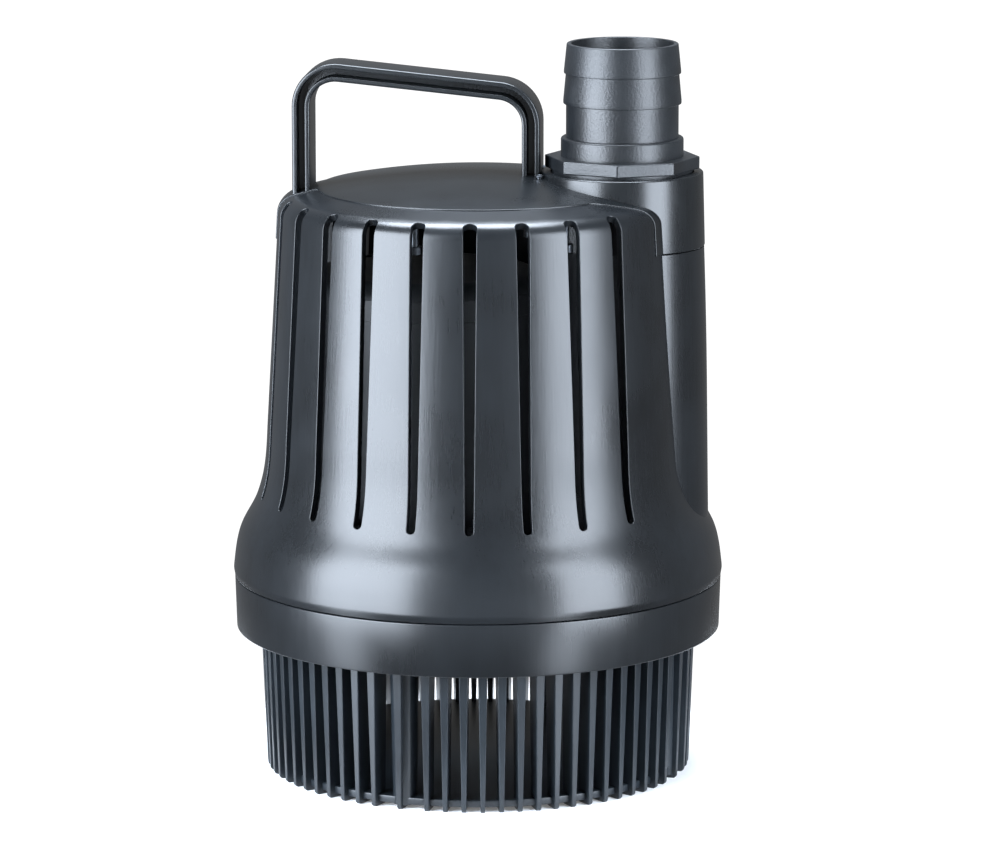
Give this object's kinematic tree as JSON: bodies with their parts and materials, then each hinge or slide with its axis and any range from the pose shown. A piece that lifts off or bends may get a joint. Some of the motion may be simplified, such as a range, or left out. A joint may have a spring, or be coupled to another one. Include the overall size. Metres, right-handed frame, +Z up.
{
  "type": "submersible pump",
  "caption": "Submersible fountain pump: finned strainer foot, slotted shell, side riser, stepped hose barb and carrying handle.",
  "frame": {"origin": "centre of the footprint, on the plane of the strainer fins' feet", "axes": "+Z up along the body's axis; +X from the body's axis towards the outlet; +Y completes the frame, towards the side with the cable outlet"},
  "size_m": [0.1678, 0.1678, 0.2498],
  "materials": {
    "strainer_plastic": "satin moulded polypropylene",
    "screw_steel": "stainless steel",
    "casing_plastic": "satin moulded polypropylene",
    "cover_plastic": "semi-gloss moulded ABS",
    "barb_plastic": "fine spark-eroded texture",
    "seal_rubber": "nitrile rubber",
    "inner_plastic": "glass-filled polyamide, as moulded",
    "volute_plastic": "glass-filled polyamide, as moulded",
    "impeller_plastic": "moulded acetal",
    "shaft_steel": "ground stainless steel",
    "lamination_steel": "laminated electrical steel",
    "cage_aluminium": "pressure-cast aluminium",
    "washer_plastic": "PTFE compound",
    "bush_ceramic": "ground alumina",
    "can_steel": "deep-drawn stainless steel",
    "copper": "enamelled copper wire",
    "capacitor_plastic": "moulded polypropylene",
    "terminal_plastic": "polyamide"
  },
  "bodies": {
    "pump_body": {"strainer_basket": "strainer_plastic", "strainer_screws": "screw_steel", "base_ring": "casing_plastic", "shell_screws": "screw_steel", "outer_shell": "casing_plastic", "top_cover": "cover_plastic", "cover_screws": "screw_steel", "handle": "cover_plastic", "handle_screws": "screw_steel", "leg_screws": "screw_steel", "hose_barb": "barb_plastic", "barb_gasket": "seal_rubber", "riser_tube": "inner_plastic", "riser_seal_lower": "seal_rubber", "riser_seal_upper": "seal_rubber", "volute_casing": "volute_plastic", "volute_cover": "volute_plastic", "volute_seal": "seal_rubber", "volute_screws": "screw_steel", "lower_bush": "bush_ceramic", "upper_bush": "bush_ceramic", "upper_bush_holder": "seal_rubber", "bearing_plate": "inner_plastic", "rotor_can": "can_steel", "stator_core": "lamination_steel", "stator_windings": "copper", "motor_housing": "inner_plastic", "motor_end_cap": "inner_plastic", "motor_seal": "seal_rubber", "end_cap_seal": "seal_rubber", "motor_screws": "screw_steel", "end_cap_screws": "screw_steel", "run_capacitor": "capacitor_plastic", "thermal_cutout": "terminal_plastic", "terminal_block": "terminal_plastic", "cable_gland": "inner_plastic", "cable_grommet": "seal_rubber"},
    "rotor": {"rotor_shaft": "shaft_steel", "rotor_core": "lamination_steel", "rotor_cage": "cage_aluminium", "impeller": "impeller_plastic", "impeller_nut": "screw_steel", "thrust_washers": "washer_plastic"}
  },
  "joints": [
    {"name": "rotor_spin", "type": "hinge", "parent": "pump_body", "child": "rotor", "pos_m": [-0.018, 0, 0.105], "axis": [0, 0, 1], "continuous": true}
  ]
}
